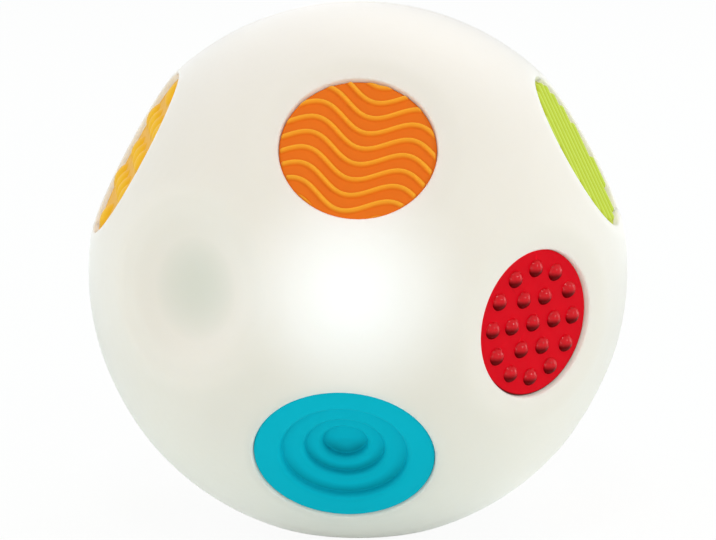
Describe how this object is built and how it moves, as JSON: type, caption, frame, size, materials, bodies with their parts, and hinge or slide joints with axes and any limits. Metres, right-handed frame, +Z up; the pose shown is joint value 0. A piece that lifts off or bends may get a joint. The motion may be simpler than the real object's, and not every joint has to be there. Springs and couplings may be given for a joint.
{
  "type": "sensory ball",
  "caption": "Light-up sensory ball: milky half shells with flattened spots, coloured discs with raised textures, a battery door, a speaker grille and a slide switch.",
  "frame": {"origin": "middle of the bounding box, 2 mm straight above the centre of the ball", "axes": "+Z up when the ball stands on the rim of its lowest dish, -Y towards the front with the lamp patch"},
  "size_m": [0.13, 0.1298, 0.126],
  "materials": {
    "milky_shell": "satin, milky and lit from within",
    "milky_door": "satin",
    "orange_disc": "soft gloss",
    "yellow_disc": "soft gloss",
    "green_disc": "soft gloss",
    "red_disc": "gloss",
    "blue_disc": "matte, soft to the touch",
    "steel": "plated",
    "cell_jacket": "printed jacket, left plain",
    "board": "lacquered",
    "lamp_lens": "clear",
    "black_plastic": "matte",
    "magnet": "dull",
    "knob": "satin"
  },
  "bodies": {
    "ball": {"front_shell": "milky_shell", "rear_shell": "milky_shell", "wave_disc_front": "orange_disc", "wave_disc_rear": "orange_disc", "bump_disc_front": "yellow_disc", "bump_disc_rear": "yellow_disc", "ridge_disc_front": "green_disc", "ridge_disc_rear": "green_disc", "stud_disc": "red_disc", "bowl_disc_front": "blue_disc", "bowl_disc_rear": "blue_disc", "shell_screws": "steel", "battery_cells": "cell_jacket", "base_contacts": "steel", "main_board": "board", "board_screws": "steel", "glow_led": "lamp_lens", "sound_chip": "black_plastic", "capacitor": "black_plastic", "resistors": "black_plastic", "motion_can": "steel", "speaker_frame": "steel", "speaker_cone": "black_plastic", "speaker_magnet": "magnet", "speaker_clamp": "black_plastic", "clamp_screws": "steel", "switch_body": "black_plastic", "switch_screws": "steel"},
    "door": {"battery_door": "milky_door", "door_screws": "steel", "door_contacts": "steel"},
    "knob": {"switch_knob": "knob"},
    "loose_ball": {"motion_ball": "steel"}
  },
  "joints": [
    {"name": "door_lift", "type": "slide", "parent": "ball", "child": "door", "axis": [0.6206, 0.7802, -0.0785], "range_m": [0, 0.03]},
    {"name": "power_slide", "type": "slide", "parent": "ball", "child": "knob", "axis": [-1, 0, 0], "range_m": [0, 0.004]},
    {"name": "motion_roll", "type": "slide", "parent": "ball", "child": "loose_ball", "axis": [0, 0, 1], "range_m": [0, 0.0038]}
  ]
}
